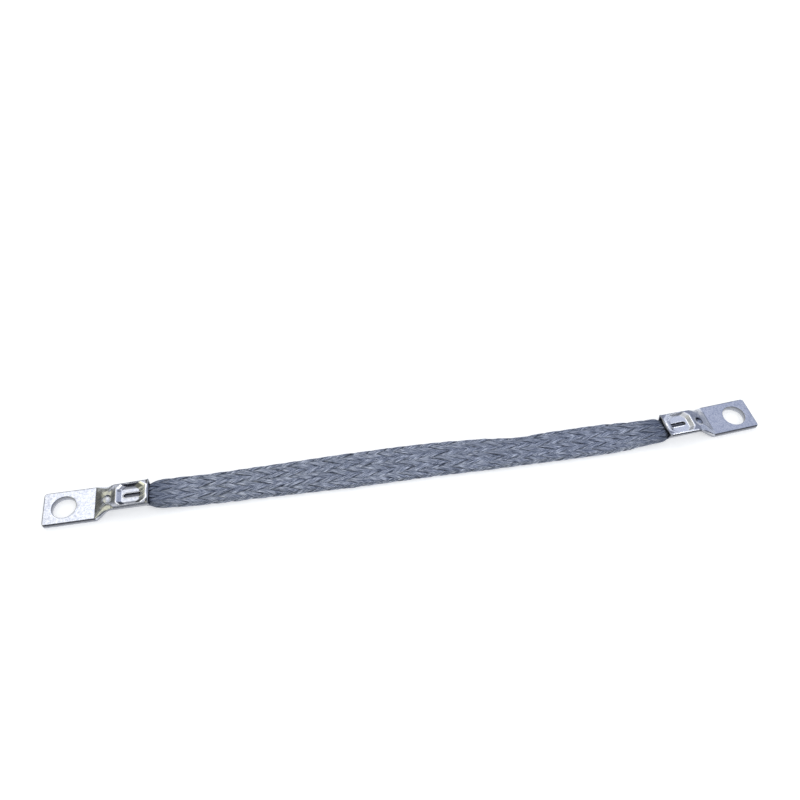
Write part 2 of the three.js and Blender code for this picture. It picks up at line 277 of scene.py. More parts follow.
def lug_rings():
    rings = slit_rings()
    for from_end in palm_end_rings:
        section = lug_section(-palm_length)
        edge = max(palm_edge_round - from_end, 0)
        corner = max(palm_corner_round - from_end, 0)
        rolled = palm_edge_round - math.sqrt(palm_edge_round**2 - edge**2)
        drawn = palm_corner_round - math.sqrt(palm_corner_round**2 - corner**2)
        section["half"] -= rolled + drawn
        section["belly"] -= rolled + drawn
        section["low"] += rolled
        section["high"] -= rolled
        roundest = (section["high"] - section["low"]) / 2 * round_share
        for key in round_keys:
            section[key] = min(section[key], roundest)
        rings.append(lug_ring(section, from_end - palm_length, None))
    for u in np.linspace(1.0 - palm_length, -0.4, 12)[1:]:
        rings.append(lug_ring(lug_section(u), u, None))
    for u in bend_rings:
        rings.append(lug_ring(lug_section(max(u, 0.0)), u, None))
    neck = np.arange(0.4, neck_length, neck_ring_step)
    barrel = np.arange(neck_length, mouth_at - mouth_edge_round, barrel_ring_step)
    for u in np.concatenate((neck, barrel)):
        rings.append(lug_ring(lug_section(u), u, 0.0))
    turns = np.linspace(0, math.pi / 2, turn_points)
    rim = [(turn, mouth_edge_round * (1 - math.cos(turn))) for turn in turns]
    rim += [(turn, mouth_wall - amount) for turn, amount in rim[::-1]]
    for turn, amount in rim:
        u = mouth_at - mouth_edge_round * (1 - math.sin(turn))
        rings.append(lug_ring(shrunk(lug_section(u), amount), u, None))
    for u in np.arange(mouth_at - 0.5, cavity_from, -inside_ring_step):
        belled = ease(u, mouth_at - bell_length, mouth_at - mouth_edge_round)
        wall = mix(tube_wall, mouth_wall, belled)
        rings.append(lug_ring(shrunk(lug_section(u), wall), u, tube_wall))
    return rings


def mesh_from_rings(name, rings):
    count = len(rings[0])
    points = np.concatenate(rings)
    faces = []
    for row in range(len(rings) - 1):
        near = row * count
        far = near + count
        for i in range(count):
            after = (i + 1) % count
            faces.append((near + i, near + after, far + after, far + i))
    last = len(rings) * count
    ends = np.stack((rings[0].mean(axis=0), rings[-1].mean(axis=0)))
    points = np.concatenate((points, ends))
    for i in range(count):
        after = (i + 1) % count
        faces.append((last, after, i))
        faces.append((last + 1, last - count + i, last - count + after))
    mesh = bpy.data.meshes.new(name)
    mesh.from_pydata((points * mm).tolist(), [], faces)
    mesh.validate()
    return mesh


def welded(mesh):
    work = bmesh.new()
    work.from_mesh(mesh)
    bmesh.ops.remove_doubles(work, verts=work.verts, dist=weld_within)
    bmesh.ops.dissolve_degenerate(work, edges=work.edges, dist=sliver_below)
    bmesh.ops.recalc_face_normals(work, faces=work.faces)
    work.to_mesh(mesh)
    work.free()
    return mesh


# Holes in the lug
# The palm is punched for an M8 bolt, and the neck is drilled so that the wires can be seen to reach
# through. The bolt hole has a slightly rounded rim, and the drilled one opens a little at the top.
bolt_hole = 8.4
bolt_hole_at = -10.7
bolt_rim = 0.22
bolt_cut_beyond = 2.0
sight_hole = 3.0
sight_cut_from = 1.9
sight_widens_at = barrel_height - 1.6
sight_cut_to = barrel_height + 0.6
sight_widening = 0.25


def round_cutter(name, u, profile, sides):
    points = []
    for radius, height in profile:
        for i in range(sides):
            angle = 2 * math.pi * i / sides
            points.append((u + radius * math.cos(angle), radius * math.sin(angle), height))
    faces = []
    for row in range(len(profile) - 1):
        for i in range(sides):
            after = (i + 1) % sides
            near = row * sides
            faces.append((near + i, near + after, near + sides + after, near + sides + i))
    faces.append(tuple(range(sides))[::-1])
    faces.append(tuple(len(points) - sides + i for i in range(sides)))
    mesh = bpy.data.meshes.new(name)
    mesh.from_pydata([tuple(c * mm for c in p) for p in points], [], faces)
    cutter = bpy.data.objects.new(name, mesh)
    bpy.context.scene.collection.objects.link(cutter)
    return cutter


rim_turns = [math.radians(a) for a in (0, 22, 45, 67, 90)]
bolt_profile = [(bolt_hole / 2 + bolt_rim, -bolt_cut_beyond)]
for angle in rim_turns:
    wide = bolt_hole / 2 + bolt_rim * (1 - math.sin(angle))
    bolt_profile.append((wide, bolt_rim * (1 - math.cos(angle))))
for angle in rim_turns[::-1]:
    wide = bolt_hole / 2 + bolt_rim * (1 - math.sin(angle))
    bolt_profile.append((wide, palm_thick - bolt_rim * (1 - math.cos(angle))))
bolt_profile.append((bolt_hole / 2 + bolt_rim, palm_thick + bolt_cut_beyond))
sight_profile = [(sight_hole / 2, sight_cut_from)]
sight_profile.append((sight_hole / 2, sight_widens_at))
sight_profile.append((sight_hole / 2 + sight_widening, sight_cut_to))
cutters = [round_cutter("bolt_cutter", bolt_hole_at, bolt_profile, 96)]
cutters.append(round_cutter("sight_cutter", sight_hole_at, sight_profile, 48))

lug_mesh = welded(mesh_from_rings("lug", lug_rings()))
lug_blank = bpy.data.objects.new("lug_blank", lug_mesh)
bpy.context.scene.collection.objects.link(lug_blank)
for cutter in cutters:
    cut = lug_blank.modifiers.new(cutter.name, "BOOLEAN")
    cut.operation = "DIFFERENCE"
    cut.solver = "EXACT"
    cut.object = cutter
finished_lug = lug_blank.evaluated_get(bpy.context.evaluated_depsgraph_get())
drilled = bpy.data.meshes.new_from_object(finished_lug)
for made in [lug_blank] + cutters:
    bpy.data.objects.remove(made)

# Painted light and shade on the lugs
# The tin is painted darker as shade on walls, sides, the groove and the inside of the tube, and lighter
# as highlights along the edges of the tray and the groove. The right lug's tray gets more painted light.
edge_band = 0.3
floor_band = 0.16
groove_turn_back = 1.4
groove_edge_from = 0.82
groove_edge_to = 1.12
tray_half = 4.2
hole_wall_band = 0.16


def from_groove(x, y):
    return math.hypot(y, max(crimp_middle - x - groove_turn_back, 0.0))


def height_over(x, y):
    return float(pressed_height(x, np.array([y]))[0])


# Painted highlights: bright lines along the edges of the tray and the groove, and on the lug with more
# painted light also parts of its tray floor, a side band and the neck top.
def painted_highlight_share(x, y, z, more_lit):
    top = lug_section(x)["high"]
    if neck_length < x < mouth_at - 0.5 and z > 3.5:
        over = height_over(x, y)
        away = from_groove(x, y)
        on_tray_edge = abs(over - top) < edge_band and z > top - edge_band
        on_groove_edge = groove_edge_from < away < groove_edge_to and abs(z - crimp_floor) < floor_band
        if on_tray_edge or on_groove_edge:
            return 1.0
        if more_lit and groove_edge_to <= away and over < top - edge_band and x < crimp_middle + 3.4:
            return 0.6
        if more_lit and tray_half < y < tray_half + 0.4 and z > top - edge_band:
            return 0.9
    if more_lit and 0.2 < x < 3.0 and z > palm_thick - 0.1:
        return 0.25
    return 0.0


# Painted shade on the wall of the bolt hole, the sides and the sheared end of the palm.
def palm_painted_shade(x, y, z):
    from_bolt = math.hypot(x - bolt_hole_at, y)
    from_seam = abs(z - tube_wall)
    if from_bolt < bolt_hole / 2 + hole_wall_band and 0.1 < z < palm_thick - 0.02:
        return 0.12 + 0.6 * (palm_thick - 0.3 < z)
    if x < 0.5 and abs(y) > palm_width / 2 - 0.3:
        return 0.9 if z > tube_wall else 0.35
    if x < 0.3 - palm_length and from_seam > 0.2:
        return 0.8
    if x < 1.2 - palm_length and from_seam < 0.2:
        return 1.0
    return None


# Painted shade for the lug with more painted light, kept off its tray floor: the top of the barrel, the
# back of the neck and the front wall.
def more_lit_shade_share(x, y, z, top):
    if neck_length < x < mouth_at - 1.1 and abs(y) < tray_half + 0.05 and z > crimp_floor - 0.1:
        return 0.0 if height_over(x, y) < top - edge_band else 0.42
    if 1.2 < x < neck_length and y < -0.4 and z > 3.2:
        return 0.4
    if neck_length - 1 < x < mouth_at - 0.8 and y > 4.5 and z < top - 0.28:
        return 0.55 + 0.4 * ease(z, 2.4, 3.8)
    return None


# Painted shade on the sides of the neck and the barrel, the rim of the mouth, and the walls, floor and lips
# of the tray.
def barrel_painted_shade(x, y, z, top, more_lit):
    side_top = top - 0.6 * barrel_shoulder - 0.3 * (x < neck_length)
    if x > 0 and abs(y) > 2.4 and z < side_top:
        return 0.42 + 0.43 * ease(z, 3.4, 4.8)
    if x > mouth_at - 1.1 - 0.4 * more_lit and z > 3.5:
        return 0.5
    if neck_length < x < crimp_middle and y > 1.5 and crimp_floor + 0.15 < z < top - edge_band:
        return 0.62
    if neck_length < x and abs(z - crimp_floor) < 0.13 and abs(y) < 4:
        return 0.14
    if x > neck_length - 1 and z > 4.5 and height_over(x, y) > top + edge_band:
        return 0.42
    return 0.0


# Painted shade, darkest in the groove and on the inside of the tube.
def painted_shade_share(x, y, z, more_lit):
    top = lug_section(x)["high"]
    if from_groove(x, y) < groove_edge_from and 3.0 < z < crimp_floor and 10 < x < 16.2:
        return min(max(crimp_floor - z, 0.0) / 0.15, 0.92)
    share = palm_painted_shade(x, y, z)
    if share is None and 0 < x < mouth_at - 0.3 and abs(y) < tray_half and 1.1 < z < 3.9:
        share = 0.5
    if share is None and more_lit:
        share = more_lit_shade_share(x, y, z, top)
    if share is None:
        share = barrel_painted_shade(x, y, z, top, more_lit)
    return share


# Stores the painted highlight and painted shade shares on each point of a lug.
def mark_painted_light(mesh, more_lit):
    painted_highlight = mesh.attributes.new("painted_highlight", "FLOAT", "POINT")
    painted_shade = mesh.attributes.new("painted_shade", "FLOAT", "POINT")
    for point, highlight_value, shade_value in zip(mesh.vertices, painted_highlight.data, painted_shade.data):
        x, y, z = point.co / mm
        highlight_value.value = painted_highlight_share(x, y, z, more_lit)
        shade_value.value = painted_shade_share(x, y, z, more_lit)


# Tin on the lugs
# Hot tin on copper: bright and slightly blue, with a fine grain and small handling scratches. It is painted
# darker where the lug carries painted shade and lighter where it carries painted highlights.
# Colours of the painted shade and of the painted highlights.
painted_shade_tin = (0.05, 0.053, 0.065)
painted_highlight_tin = (0.97, 0.975, 0.98)


def noise_on(tree, vector, scale, detail, rough, name):
    noise = tree.nodes.new("ShaderNodeTexNoise")
    noise.label = name
    noise.inputs["Scale"].default_value = scale
    noise.inputs["Detail"].default_value = detail
    noise.inputs["Roughness"].default_value = rough
    tree.links.new(vector, noise.inputs["Vector"])
    return noise.outputs["Fac"]


def ramp_on(tree, value, stops):
    ramp = tree.nodes.new("ShaderNodeValToRGB")
    while len(ramp.color_ramp.elements) < len(stops):
        ramp.color_ramp.elements.new(0.5)
    for element, (place, colour) in zip(ramp.color_ramp.elements, stops):
        element.position = place
        element.color = (*colour, 1)
    tree.links.new(value, ramp.inputs["Fac"])
    return ramp.outputs["Color"]


def ranged_on(tree, value, start, end, low=0.0, high=1.0, kind="LINEAR"):
    spread = tree.nodes.new("ShaderNodeMapRange")
    spread.interpolation_type = kind
    spread.inputs["From Min"].default_value = start
    spread.inputs["From Max"].default_value = end
    spread.inputs["To Min"].default_value = low
    spread.inputs["To Max"].default_value = high
    tree.links.new(value, spread.inputs["Value"])
    return spread.outputs["Result"]


def math_on(tree, operation, *values):
    sum_node = tree.nodes.new("ShaderNodeMath")
    sum_node.operation = operation
    for socket, value in zip(sum_node.inputs, values):
        if isinstance(value, float):
            socket.default_value = value
        else:
            tree.links.new(value, socket)
    return sum_node.outputs["Value"]


def blended(tree, factor, first, second):
    blend = tree.nodes.new("ShaderNodeMix")
    blend.data_type = "RGBA"
    tree.links.new(factor, blend.inputs[0])
    for socket, colour in ((blend.inputs[6], first), (blend.inputs[7], second)):
        if isinstance(colour, tuple):
            socket.default_value = (*colour, 1)
        else:
            tree.links.new(colour, socket)
    return blend.outputs[2]


def attribute_on(tree, name):
    attribute = tree.nodes.new("ShaderNodeAttribute")
    attribute.attribute_name = name
    return attribute


tin = bpy.data.materials.new("tinned_copper_tube")
tin.use_nodes = True
tin_tree = tin.node_tree
tin_shader = tin_tree.nodes["Principled BSDF"]
tin_shader.inputs["Metallic"].default_value = 1.0
tin_place = tin_tree.nodes.new("ShaderNodeTexCoord").outputs["Object"]
tin_cloud = noise_on(tin_tree, tin_place, 1500, 5, 0.75, "cloudy tin")
tin_stops = [(0.35, (0.42, 0.45, 0.54)), (0.5, (0.62, 0.64, 0.70)), (0.64, (0.76, 0.77, 0.80))]
tin_colour = ramp_on(tin_tree, tin_cloud, tin_stops)
# Painted shade, then painted highlights, laid over the tin's own colour.
tin_shaded = blended(tin_tree, attribute_on(tin_tree, "painted_shade").outputs["Fac"], tin_colour, painted_shade_tin)
tin_highlight_share = attribute_on(tin_tree, "painted_highlight").outputs["Fac"]
tin_highlighted = blended(tin_tree, tin_highlight_share, tin_shaded, painted_highlight_tin)
tin_tree.links.new(tin_highlighted, tin_shader.inputs["Base Color"])
tin_dull = noise_on(tin_tree, tin_place, 900, 4, 0.65, "handling marks")
tin_rough = ranged_on(tin_tree, tin_dull, 0.3, 0.75, 0.16, 0.34)
tin_tree.links.new(tin_rough, tin_shader.inputs["Roughness"])
tin_grain = noise_on(tin_tree, tin_place, 2600, 3, 0.6, "grain of the tin")
tin_waves = noise_on(tin_tree, tin_place, 420, 2, 0.5, "hammered by the press")
tin_relief = math_on(tin_tree, "MULTIPLY_ADD", tin_grain, 0.25, tin_waves)
tin_bump = tin_tree.nodes.new("ShaderNodeBump")
tin_bump.inputs["Strength"].default_value = 0.09
tin_bump.inputs["Distance"].default_value = 0.00012
tin_tree.links.new(tin_relief, tin_bump.inputs["Height"])
tin_tree.links.new(tin_bump.outputs["Normal"], tin_shader.inputs["Normal"])

# Lugs in place
# The left lug lies along the strap, and the right one is turned by a few degrees, as the braid has set.
bolt_span = 250.0
right_turn = math.radians(4.8)
sharp_edge = math.radians(38)
reach = -bolt_hole_at
bend_span = math.sqrt(bolt_span**2 - (reach * math.sin(right_turn)) ** 2)
bend_span -= reach * (1 + math.cos(right_turn))
left_low, left_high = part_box("lug_left")
left_bend = Vector((left_low.x / mm + palm_length, (left_low.y + left_high.y) / 2 / mm, 0.0))
right_bend = left_bend + Vector((bend_span, 0.0, 0.0))


def placed_lug(name, bend, turn, more_lit):
    mesh = drilled.copy()
    mesh.name = name
    mark_painted_light(mesh, more_lit)
    mesh.transform(Matrix.Translation(bend * mm) @ Matrix.Rotation(turn, 4, "Z"))
    mesh.shade_smooth()
    mesh.set_sharp_from_angle(angle=sharp_edge)
    mesh.materials.clear()
    mesh.materials.append(tin)
    lug = bpy.data.objects.new(name, mesh)
    bpy.context.scene.collection.objects.link(lug)
    return lug


left_lug = placed_lug("crimped_lug_left", left_bend, 0.0, False)
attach(left_lug, "root")
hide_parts("lug_left")
# The right lug carries more painted light on its tray than the left one.
right_lug = placed_lug("crimped_lug_right", right_bend, math.pi + right_turn, True)
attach(right_lug, "root")
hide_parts("lug_right")

# Run of the braid
# The braid is a woven tube, flattened by rollers, that comes out of each mouth as a thick oval, spreads
# to its full width and settles onto the surface. It narrows and wanders a little on its way.
braid_width = 14.4
braid_thick = 2.6
settle_length = 20.0
row_length = 1.64
round_columns = 48
mouth_fill_thick = 3.9
mouth_level = 2.85
mouth_fill_reach = 3.2
bulk_limit = 4.1
gripped_after = 3.5
gripped_thick = 1.8
gripped_level = 2.15
gripped_width = 6.3
braid_share = np.array([0, 0.01, 0.045, 0.12, 0.24, 0.38, 0.54, 0.64, 0.71, 0.78, 0.89, 0.95, 0.99, 1])
braid_wide = [0.59, 0.73, 0.82, 0.86, 0.92, 1, 0.99, 0.93, 0.83, 0.88, 0.88, 0.76, 0.69, 0.58]
braid_side = [0, 0, 0.05, 0.18, 0.35, 0.55, 0.72, 0.05, -0.6, -0.3, 0, -0.1, 0, 0]
left_mouth = np.array([left_bend.x + mouth_at, left_bend.y])
right_way = np.array([math.cos(right_turn), math.sin(right_turn)])
right_mouth = np.array([right_bend.x, right_bend.y]) - mouth_at * right_way
free_length = float(np.linalg.norm(right_mouth - left_mouth))


def through_stations(share, values):
    values = np.array(values, dtype=float)
    slope = np.gradient(values) / np.gradient(braid_share)
    at = np.clip(np.searchsorted(braid_share, share, side="right") - 1, 0, len(values) - 2)
    span = braid_share[at + 1] - braid_share[at]
    t = (share - braid_share[at]) / span
    start = (2 * t**3 - 3 * t**2 + 1) * values[at] + (t**3 - 2 * t**2 + t) * span * slope[at]
    end = (3 * t**2 - 2 * t**3) * values[at + 1] + (t**3 - t**2) * span * slope[at + 1]
    return start + end


def ease_all(x, start, end):
    t = np.clip((x - start) / (end - start), 0, 1)
    return t * t * (3 - 2 * t)


def braid_outline(way):
    inside = np.maximum(np.maximum(-way, way - free_length), 0)
    share = np.clip(way / free_length, 0, 1)
    from_mouth = np.maximum(np.minimum(way, free_length - way), 0)
    width = braid_width * through_stations(share, braid_wide)
    bulk = braid_thick * braid_width / width
    thick = np.minimum(bulk, bulk_limit)
    thick = mix(mouth_fill_thick, thick, ease_all(from_mouth, 0, mouth_fill_reach))
    level = mix(mouth_level, thick / 2, ease_all(from_mouth, 0, settle_length))
    squeezed = ease_all(inside, 0, gripped_after)
    thick = mix(thick, gripped_thick, squeezed)
    level = mix(level, gripped_level, squeezed)
    width = mix(width, gripped_width, squeezed)
    return width, thick, level, inside, share


def braid_centre(way, share):
    beyond_left = np.minimum(way, 0)
    beyond_right = np.maximum(way - free_length, 0)
    side = through_stations(share, braid_side)
    across_x = -math.sin(right_turn) * share
    across_y = 1 - (1 - math.cos(right_turn)) * share
    size = np.hypot(across_x, across_y)
    across_x = across_x / size
    across_y = across_y / size
    x = mix(left_mouth[0], right_mouth[0], share) + beyond_left + beyond_right * right_way[0]
    y = mix(left_mouth[1], right_mouth[1], share) + beyond_right * right_way[1]
    return x + side * across_x, y + side * across_y, across_x, across_y


def on_loop(share, width, thick):
    radius = thick / 2
    flat = width - thick
    bend = math.pi * radius
    perimeter = 2 * (flat + bend)
    way = np.mod(share * perimeter + bend / 2, perimeter)
    half = way >= perimeter / 2
    rest = way - half * perimeter / 2
    sign = np.where(half, -1.0, 1.0)
    angle = -math.pi / 2 + np.minimum(rest, bend) / radius
    rounding = rest < bend
    side = np.where(rounding, flat / 2 + radius * np.cos(angle), flat / 2 - (rest - bend))
    up = np.where(rounding, radius * np.sin(angle), radius)
    out_side = np.where(rounding, np.cos(angle), 0.0)
    out_up = np.where(rounding, np.sin(angle), 1.0)
    return sign * side, sign * up, sign * out_side, sign * out_up


# Bundles of wire
# Twelve flat bundles of fine tinned copper wire run each way round the tube, each over two of the
# others and then under two. The wires lie side by side, and none lies quite straight.
bundles_each_way = 12
wires_across = 10
bundle_thick = 0.5
bundle_fill = 0.97
wire_ridge = 0.07
wire_rise = 0.9
crowding_limit = 1.7
crossing_relief = 0.52
crossing_snap = 2.4
least_loop = 0.8
strands_apart = 11.0
strands_other_way = 140
mouth_shade_reach = 14
sway_size = 0.16
swell_size = 0.07
lifted_size = 0.05
wire_lift_size = 0.035
wire_sway_size = 0.03
crown_edge = 0.25
crown_bow = 2.4
crown_fall = 0.6
underside_share = 0.8
gripped_share = 0.7
steps_along = 330
inside_lug = 13.0
chance = np.random.default_rng(24)


def slow_waves(count, longest, shortest, size):
    lengths = chance.uniform(shortest, longest, count)
    phases = chance.uniform(0, 2 * math.pi, count)
    sizes = size * chance.uniform(0.5, 1.0, count) / math.sqrt(count)
    waves = list(zip(lengths, phases, sizes))
    return lambda x: sum(high * np.sin(2 * math.pi * x / long + phase) for long, phase, high in waves)


def bundle_section():
    wire_width = 2 / wires_across
    offsets = [-1.0]
    ridges = [0.0]
    wires = [0.0]
    for number in range(wires_across):
        for part, rise in ((0.3, wire_rise), (0.7, wire_rise), (1.0, 0.0)):
            offsets.append(-1 + wire_width * (number + part))
            ridges.append(rise)
            wires.append(number + part)
    is_top = np.arange(len(offsets) + 3) < len(offsets)
    offsets = np.array(offsets + [0.6, 0.0, -0.6])
    ridges = np.array(ridges + [0, 0, 0])
    wires = np.array(wires + [wires_across * 0.8, wires_across * 0.5, wires_across * 0.2])
    return offsets, ridges, wires, is_top


def bundle_mesh_parts(number, forward):
    offsets, ridges, wires, is_top = bundle_section()
    rows = (free_length + 2 * inside_lug) / row_length
    along = np.linspace(0, rows, steps_along)
    sway = slow_waves(4, 60, 14, sway_size)
    swell = slow_waves(4, 45, 10, swell_size)
    lifted = slow_waves(4, 30, 8, lifted_size)
    wire_lift = [slow_waves(3, 34, 7, wire_lift_size) for _ in range(wires_across + 1)]
    wire_sway = [slow_waves(3, 40, 9, wire_sway_size) for _ in range(wires_across + 1)]
    near_wire = np.clip(wires.astype(int), 0, wires_across)
    own = along[:, None] * row_length
    nudges = np.stack([wire_sway[w](along * row_length) for w in near_wire], axis=1)
    lifts = np.stack([wire_lift[w](along * row_length) for w in near_wire], axis=1)
    place = offsets[None, :] * (bundle_fill + swell(own))
    place = place + nudges * (1 - np.abs(offsets[None, :])) + sway(own)
    row = np.broadcast_to(along[:, None] - inside_lug / row_length, place.shape)
    lean = 1 if forward else -1
    column = 4 * number + lean * row + 2 * place
    other = (column + lean * row) / 4
    phase = np.mod(other + number, 4)
    high = -lean * np.cos((phase - 0.5) * math.pi / 2)
    high = np.tanh(crossing_snap * high) / math.tanh(crossing_snap)
    way = row * row_length
    width, thick, level, inside, share = braid_outline(way)
    perimeter = 2 * (width - thick) + math.pi * thick
    full = 2 * (braid_width - braid_thick) + math.pi * braid_thick
    crowd = np.clip(full / perimeter, 1, crowding_limit)
    depth = bundle_thick * crowd**0.6 * mix(1.0, gripped_share, ease_all(inside, 0, 3))
    relief = depth * crossing_relief
    tuck = relief + depth / 2
    centre_x, centre_y, across_x, across_y = braid_centre(way, share)
    loop_thick = np.maximum(thick - 2 * tuck, least_loop)
    side, up, out_side, out_up = on_loop(column / round_columns, width - 2 * tuck, loop_thick)
    crown = (1 - np.abs(offsets[None, :]) ** crown_bow) ** crown_fall
    upper = depth / 2 * (crown_edge + (1 - crown_edge) * crown)
    lens_height = np.where(is_top[None, :], upper, -depth / 2 * underside_share)
    ridge = np.where(is_top[None, :], wire_ridge * (ridges[None, :] - wire_rise) + lifts, 0.0)
    lift = relief * high + lens_height + ridge + np.clip(lifted(own), -0.1, 0.04)
    x = centre_x + across_x * (side + lift * out_side)
    y = centre_y + across_y * (side + lift * out_side)
    z = np.maximum(level + up + lift * out_up, 0.0)
    strand = wires[None, :] + strands_apart * number + strands_other_way * forward
    # Painted shade near the mouths of the lugs, carried in the third lay value.
    mouth_shade = 1 - ease_all(np.minimum(way, free_length - way), 0.5, mouth_shade_reach)
    lay = (np.broadcast_to(strand, x.shape), np.broadcast_to(own, x.shape), mouth_shade)
    return np.stack((x, y, z), axis=2), np.stack(lay, axis=2)


def bundle_group(name, numbers, forward):
    points = []
    lays = []
    faces = []
    start = 0
    for number in numbers:
        bundle, lay = bundle_mesh_parts(number, forward)
        steps, count, _ = bundle.shape
        index = start + np.arange(steps * count).reshape(steps, count)
        near = index[:-1]
        far = index[1:]
        quads = np.stack((near, np.roll(near, -1, axis=1), np.roll(far, -1, axis=1), far), axis=2)
        faces.append(quads.reshape(-1, 4))
        points.append(bundle.reshape(-1, 3))
        lays.append(lay.reshape(-1, 3))
        start += steps * count
    mesh = bpy.data.meshes.new(name)
    mesh.from_pydata((np.concatenate(points) * mm).tolist(), [], np.concatenate(faces).tolist())
    attribute = mesh.attributes.new("lay", "FLOAT_VECTOR", "POINT")
    attribute.data.foreach_set("vector", np.concatenate(lays).astype(np.float32).ravel())
    mesh.validate()
    mesh.shade_smooth()
    piece = bpy.data.objects.new(name, mesh)
    bpy.context.scene.collection.objects.link(piece)
    mesh.materials.append(tinned_wire)
    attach(piece, "root")
    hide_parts("braid")
    return piece


# Tinned wire
# Drawn copper wire with a thin coat of tin that has dulled to slate: each wire catches the light in
# long streaks, and the braid is painted darker near the lugs' mouths, as painted shade.
mouth_shade_colour = (0.06, 0.08, 0.13)
tinned_wire = bpy.data.materials.new("tinned_copper_wire")
tinned_wire.use_nodes = True
wire_tree = tinned_wire.node_tree
wire_shader = wire_tree.nodes["Principled BSDF"]
wire_shader.inputs["Metallic"].default_value = 0.85
wire_lay = attribute_on(wire_tree, "lay").outputs["Vector"]
wire_stretch = wire_tree.nodes.new("ShaderNodeVectorMath")
wire_stretch.operation = "MULTIPLY"
wire_stretch.inputs[1].default_value = (1.7, 0.3, 0.0)
wire_tree.links.new(wire_lay, wire_stretch.inputs[0])
wire_streaks = noise_on(wire_tree, wire_stretch.outputs["Vector"], 1.0, 3, 0.6, "streaks")
wire_stops = [(0.37, (0.06, 0.073, 0.105)), (0.5, (0.215, 0.243, 0.318)), (0.61, (0.64, 0.68, 0.76))]
wire_colour = ramp_on(wire_tree, wire_streaks, wire_stops)
wire_parts = wire_tree.nodes.new("ShaderNodeSeparateXYZ")
wire_tree.links.new(wire_lay, wire_parts.inputs["Vector"])
wire_mouth_shade = math_on(wire_tree, "MULTIPLY", wire_parts.outputs["Z"], 0.55)
wire_shaded = blended(wire_tree, wire_mouth_shade, wire_colour, mouth_shade_colour)
wire_tree.links.new(wire_shaded, wire_shader.inputs["Base Color"])
wire_rough = ranged_on(wire_tree, wire_streaks, 0.3, 0.7, 0.5, 0.34)
wire_tree.links.new(wire_rough, wire_shader.inputs["Roughness"])

first_half = range(0, bundles_each_way // 2)
second_half = range(bundles_each_way // 2, bundles_each_way)
bundle_group("braid_wires_leaning_left", first_half, False)
bundle_group("braid_wires_leaning_left_too", second_half, False)
bundle_group("braid_wires_leaning_right", first_half, True)
bundle_group("braid_wires_leaning_right_too", second_half, True)

# Loose wires
# A few single wires have sprung out of their bundles. Each rises a little, runs on beside its bundle
# and dives under the next one.
loose_count = 46
loose_radius = 0.075
loose_steps = 22
loose_sides = 6
loose_tuck = 1.02
loose_base = 0.55
loose_swing = 0.45
loose_bow = 0.7
loose_strand_from = 400.0


def loose_wire_points(first_row, first_column, rows, lean, spring):
    t = np.linspace(0, 1, loose_steps)
    row = first_row + rows * t
    column = first_column + lean * rows * t
    way = row * row_length
    width, thick, level, inside, share = braid_outline(way)
    centre_x, centre_y, across_x, across_y = braid_centre(way, share)
    tuck = bundle_thick * loose_tuck
    side, up, out_side, out_up = on_loop(column / round_columns, width - 2 * tuck, thick - 2 * tuck)
    lift = tuck * loose_base + (tuck * loose_swing + spring) * np.sin(math.pi * t) ** loose_bow
    x = centre_x + across_x * (side + lift * out_side)
    y = centre_y + across_y * (side + lift * out_side)
    z = np.maximum(level + up + lift * out_up, loose_radius)
    outward = np.stack((across_x * out_side, across_y * out_side, out_up), axis=1)
    return np.stack((x, y, z), axis=1), outward


loose_points = []
loose_faces = []
loose_lay = []
for number in range(loose_count):
    lean = chance.choice([-1.0, 1.0]) * chance.uniform(0.75, 1.2)
    first_row = chance.uniform(3, free_length / row_length - 12)
    first_column = chance.uniform(-2, 26)
    rows = chance.uniform(3, 8)
    spring = chance.uniform(0.0, 0.14)
    path, outward = loose_wire_points(first_row, first_column, rows, lean, spring)
    ahead = np.gradient(path, axis=0)
    ahead /= np.linalg.norm(ahead, axis=1)[:, None]
    beside = np.cross(ahead, outward)
    beside /= np.linalg.norm(beside, axis=1)[:, None]
    above = np.cross(beside, ahead)
    start = len(loose_points)
    for step in range(loose_steps):
        for corner in range(loose_sides):
            angle = 2 * math.pi * corner / loose_sides
            offset = math.cos(angle) * beside[step] + math.sin(angle) * above[step]
            loose_points.append(path[step] + loose_radius * offset)
            loose_lay.append((loose_strand_from + 9 * number, step * 0.5, 0.0))
    for step in range(loose_steps - 1):
        for corner in range(loose_sides):
            near = start + step * loose_sides
            after = (corner + 1) % loose_sides
            far = near + loose_sides
            loose_faces.append((near + corner, near + after, far + after, far + corner))
loose_mesh = bpy.data.meshes.new("loose_wires")
loose_mesh.from_pydata((np.array(loose_points) * mm).tolist(), [], loose_faces)
loose_attribute = loose_mesh.attributes.new("lay", "FLOAT_VECTOR", "POINT")
loose_attribute.data.foreach_set("vector", np.array(loose_lay, dtype=np.float32).ravel())
loose_mesh.shade_smooth()
loose_mesh.materials.append(tinned_wire)
loose_wires = bpy.data.objects.new("loose_wires", loose_mesh)
bpy.context.scene.collection.objects.link(loose_wires)
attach(loose_wires, "root")
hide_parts("braid")

# Wires in the sight holes
# The ends of the wires swell up into each sight hole, where the installer checks that they reach it.
# In the left lug they stand higher, in a lighter copy of the wire colour as a painted highlight, and in the
# right one lie deeper.
sight_bunch = 1.42
sight_wires = 9
sight_rows = 28
sight_ridge = 0.03
sight_strands = 3.2
sight_strand_from = 300.0


